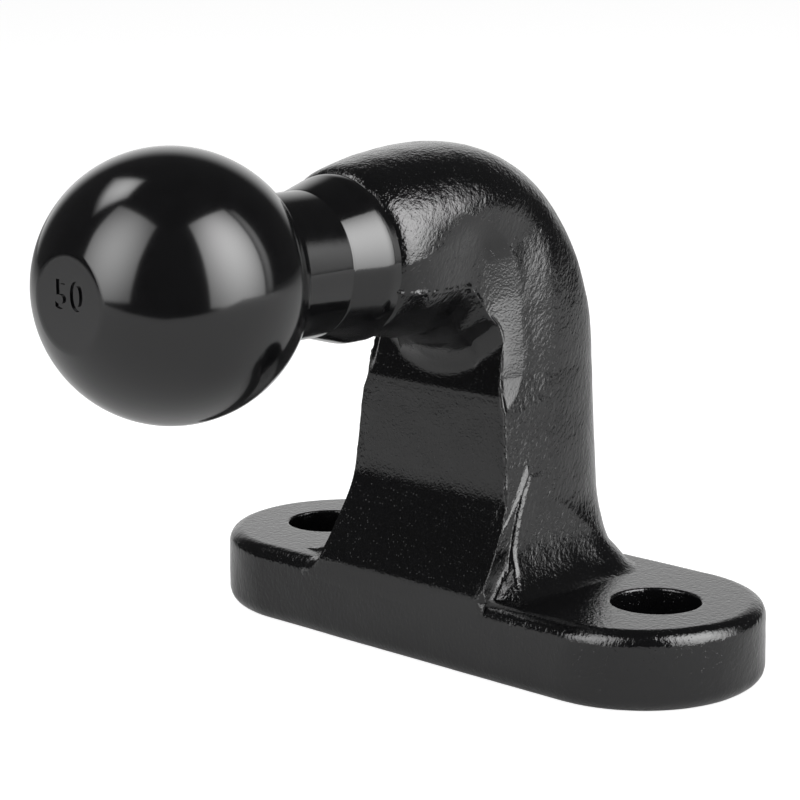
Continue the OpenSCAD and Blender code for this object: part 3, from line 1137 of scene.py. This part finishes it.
def softbox_cloth(name, strength, border):
    """White diffuser cloth of a softbox: brightest in the middle, dimmer towards its frame."""
    material, tree, output = new_material(name)
    dimmest = strength * 0.25
    place = add_node(tree, "ShaderNodeUVMap", {"uv_map": "cloth"})
    centred = add_node(
        tree, "ShaderNodeVectorMath", {"operation": "SUBTRACT", 1: (0.5, 0.5, 0)},
        {0: place.outputs[0]},
    )
    away = add_node(tree, "ShaderNodeVectorMath", {"operation": "LENGTH"}, {0: centred.outputs[0]})
    fall = add_node(
        tree, "ShaderNodeMapRange",
        {"interpolation_type": "SMOOTHSTEP", "From Min": 0.0, "From Max": 0.7, "To Min": strength,
         "To Max": dimmest},
        {"Value": away.outputs["Value"]},
    )
    sides = add_node(tree, "ShaderNodeVectorMath", {"operation": "ABSOLUTE"}, {0: centred.outputs[0]})
    split = add_node(tree, "ShaderNodeSeparateXYZ", None, {0: sides.outputs[0]})
    furthest = add_node(
        tree, "ShaderNodeMath", {"operation": "MAXIMUM"}, {0: split.outputs[0], 1: split.outputs[1]}
    )
    edge = add_node(
        tree, "ShaderNodeMapRange",
        {"interpolation_type": "SMOOTHSTEP", "From Min": 0.5 - border, "From Max": 0.5, "To Min": 1.0,
         "To Max": 0.0},
        {"Value": furthest.outputs[0]},
    )
    level = add_node(
        tree, "ShaderNodeMath", {"operation": "MULTIPLY"},
        {0: fall.outputs["Result"], 1: edge.outputs["Result"]},
    )
    glow = add_node(tree, "ShaderNodeEmission", None, {"Strength": level.outputs[0]})
    tree.links.new(glow.outputs[0], output.inputs["Surface"])
    return material


def make_softbox(name, studio, target, where, facing, size, strength, border):
    """A softbox: a lamp for the diffuse light, and a glowing cloth that gloss reflects.

    It hangs at the azimuth and elevation of where, seen from the target, and shines along those
    of facing, all in degrees. Its width and height in size are shares of the lamp distance.
    """
    centre = target + toward(*map(math.radians, where)) * studio.lamp_distance
    normal = toward(*map(math.radians, facing))
    across = Vector((0, 0, 1)).cross(normal).normalized()
    upward = normal.cross(across)
    axes = Matrix((across, upward, normal)).transposed().to_4x4()
    place = Matrix.Translation(centre) @ axes
    width, height = (s * studio.lamp_distance for s in size)
    data = bpy.data.lights.new(name, "AREA")
    data.shape = "RECTANGLE"
    data.size = width
    data.size_y = height
    data.energy = studio.lamp_level * width * height
    lamp = add_object(name, data)
    lamp.matrix_world = place
    lamp.visible_glossy = False
    lamp.visible_camera = False
    corners = [(-0.5, -0.5), (0.5, -0.5), (0.5, 0.5), (-0.5, 0.5)]
    points = [place @ Vector((x * width, y * height, 0)) for x, y in corners]
    mesh = bpy.data.meshes.new(name + "_cloth")
    mesh.from_pydata(points, [], [(0, 1, 2, 3)])
    layer = mesh.uv_layers.new(name="cloth")
    for loop, (x, y) in zip(layer.data, corners):
        loop.uv = (x + 0.5, y + 0.5)
    mesh.materials.append(softbox_cloth(name + "_cloth", strength, border))
    cloth = add_object(name + "_cloth", mesh)
    cloth.visible_camera = False
    cloth.visible_diffuse = False
    cloth.visible_shadow = False


def make_floor(studio, target):
    """Pale studio floor, white to the lens, with the object's soft shadow."""
    ahead = toward(studio.azimuth, 0)
    across = Vector((0, 0, 1)).cross(ahead)
    foot = Vector((target.x, target.y, 0))
    edge = studio.floor_edge
    just_below = Vector((0, 0, 0.05 * MM))
    gloss_share = 0.08
    outline = [(-5, -3), (3, -3), (3, edge + 0.4), (0, edge), (-1.6, edge + 0.6), (-5, edge + 0.9)]
    corners = [foot + across * x + ahead * y - just_below for x, y in outline]
    mesh = bpy.data.meshes.new("floor")
    mesh.from_pydata(corners, [], [tuple(range(len(corners)))])
    material, tree, output = new_material("white_paper_floor")
    path = add_node(tree, "ShaderNodeLightPath")
    # White paper for diffuse light and, a little brighter, for gloss; the lens sees it whiter still,
    # so that only the soft shadow shows
    paper = add_node(tree, "ShaderNodeBsdfDiffuse", {"Color": linear("#f0f0f0")})
    shown = add_node(tree, "ShaderNodeBsdfDiffuse", {"Color": linear("#b4b4b4")})
    glow = add_node(tree, "ShaderNodeEmission", {"Color": linear("#ffffff"), "Strength": 0.91})
    lit = add_node(tree, "ShaderNodeAddShader", None, {0: shown.outputs[0], 1: glow.outputs[0]})
    mirrored = add_node(
        tree, "ShaderNodeMath", {"operation": "MAXIMUM"},
        {0: path.outputs["Is Glossy Ray"], 1: path.outputs["Is Transmission Ray"]},
    )
    partly = add_node(
        tree, "ShaderNodeMath", {"operation": "MULTIPLY", 1: gloss_share}, {0: mirrored.outputs[0]}
    )
    seen = add_node(
        tree, "ShaderNodeMath", {"operation": "MAXIMUM"},
        {0: path.outputs["Is Camera Ray"], 1: partly.outputs[0]},
    )
    both = add_node(
        tree, "ShaderNodeMixShader", None, {0: seen.outputs[0], 1: paper.outputs[0], 2: lit.outputs[0]}
    )
    tree.links.new(both.outputs[0], output.inputs["Surface"])
    mesh.materials.append(material)
    floor = add_object("floor", mesh)


def make_room(studio):
    """Dark studio with a white backdrop behind the object; the camera sees plain white."""
    world = bpy.data.worlds.new("studio_room")
    bpy.context.scene.world = world
    world.use_nodes = True
    tree = world.node_tree
    tree.nodes.clear()
    output = add_node(tree, "ShaderNodeOutputWorld")
    place = add_node(tree, "ShaderNodeTexCoord")
    behind = -toward(studio.azimuth, 0)
    facing = add_node(
        tree, "ShaderNodeVectorMath", {"operation": "DOT_PRODUCT", 1: behind},
        {0: place.outputs["Generated"]},
    )
    backdrop = add_node(
        tree, "ShaderNodeMapRange",
        {"interpolation_type": "SMOOTHSTEP", "From Min": 0.76, "From Max": 0.95, "To Min": 0.06,
         "To Max": 1.0},
        {"Value": facing.outputs["Value"]},
    )
    path = add_node(tree, "ShaderNodeLightPath")
    level = add_node(
        tree, "ShaderNodeMath", {"operation": "MAXIMUM"},
        {0: path.outputs["Is Camera Ray"], 1: backdrop.outputs["Result"]},
    )
    light = add_node(
        tree, "ShaderNodeBackground", {"Color": linear("#ffffff")}, {"Strength": level.outputs[0]}
    )
    tree.links.new(light.outputs[0], output.inputs["Surface"])


def make_studio(settings):
    """Camera, softboxes, floor and room."""
    studio = settings.studio
    ball = Vector((0, -settings.turned.reach, settings.turned.height))
    bpy.context.scene.view_settings.view_transform = "Standard"
    make_camera(studio)
    make_room(studio)
    make_floor(studio, ball)
    make_softbox(
        "left_softbox", studio, ball,
        where=(-5.5, 33.5), facing=(-7.5, 22.1), size=(0.92, 1.43), strength=7.0, border=0.05,
    )
    make_softbox(
        "right_softbox", studio, ball,
        where=(106.4, 33.5), facing=(100.4, 8.0), size=(0.9, 1.5), strength=11.0, border=0.04,
    )
    # A dim panel beside the right softbox, which the neck mirrors
    make_softbox(
        "side_reflector", studio, ball,
        where=(138.0, 28.0), facing=(100.4, 8.0), size=(0.17, 1.2), strength=2.4, border=0.1,
    )
    make_softbox(
        "rear_softbox", studio, ball,
        where=(-71.8, 60.2), facing=(-85.2, 5.4), size=(0.48, 0.74), strength=6.5, border=0.22,
    )


class TOWBALL_OT_arm(bpy.types.Operator):
    """Builds the forged arm from the collar to the flange"""

    bl_idname = "towball.make_arm"
    bl_label = "Forged arm"

    def execute(self, context):
        make_arm(context.scene.tow_ball)
        return {"FINISHED"}


class TOWBALL_OT_flange(bpy.types.Operator):
    """Builds the flange with its two bolt holes"""

    bl_idname = "towball.make_flange"
    bl_label = "Flange"

    def execute(self, context):
        make_flange(context.scene.tow_ball)
        return {"FINISHED"}


class TOWBALL_OT_turned_end(bpy.types.Operator):
    """Builds the ball, its nose flat, the neck and the collar"""

    bl_idname = "towball.make_turned_end"
    bl_label = "Ball and neck"

    def execute(self, context):
        make_turned_end(context.scene.tow_ball)
        return {"FINISHED"}


class TOWBALL_OT_studio(bpy.types.Operator):
    """Sets the camera, the softboxes, the floor and the room"""

    bl_idname = "towball.make_studio"
    bl_label = "Studio"

    def execute(self, context):
        make_studio(context.scene.tow_ball)
        return {"FINISHED"}


class TOWBALL_PT_panel(bpy.types.Panel):
    """Lists the pieces of the tow ball"""

    bl_idname = "TOWBALL_PT_panel"
    bl_label = "Tow Ball"
    bl_space_type = "VIEW_3D"
    bl_region_type = "UI"
    bl_category = "Tow Ball"

    def draw(self, context):
        for operator in OPERATORS:
            self.layout.operator(operator.bl_idname)


OPERATORS = (TOWBALL_OT_arm, TOWBALL_OT_flange, TOWBALL_OT_turned_end, TOWBALL_OT_studio)
GROUPS = (TurnedSizes, ArmSizes, FlangeSizes, EnamelLook, StudioSetup, TowBallSettings)


def register():
    """Registers the settings, the operators and the panel."""
    for item in GROUPS + OPERATORS + (TOWBALL_PT_panel,):
        bpy.utils.register_class(item)
    bpy.types.Scene.tow_ball = subgroup(
        TowBallSettings, "Tow ball", "Sizes and colours of the tow ball"
    )


def unregister():
    """Undoes register."""
    del bpy.types.Scene.tow_ball
    for item in reversed(GROUPS + OPERATORS + (TOWBALL_PT_panel,)):
        bpy.utils.unregister_class(item)


def main():
    """Builds every piece and the studio."""
    register()
    bpy.ops.towball.make_arm()
    bpy.ops.towball.make_flange()
    bpy.ops.towball.make_turned_end()
    bpy.ops.towball.make_studio()


if __name__ == "__main__":
    main()
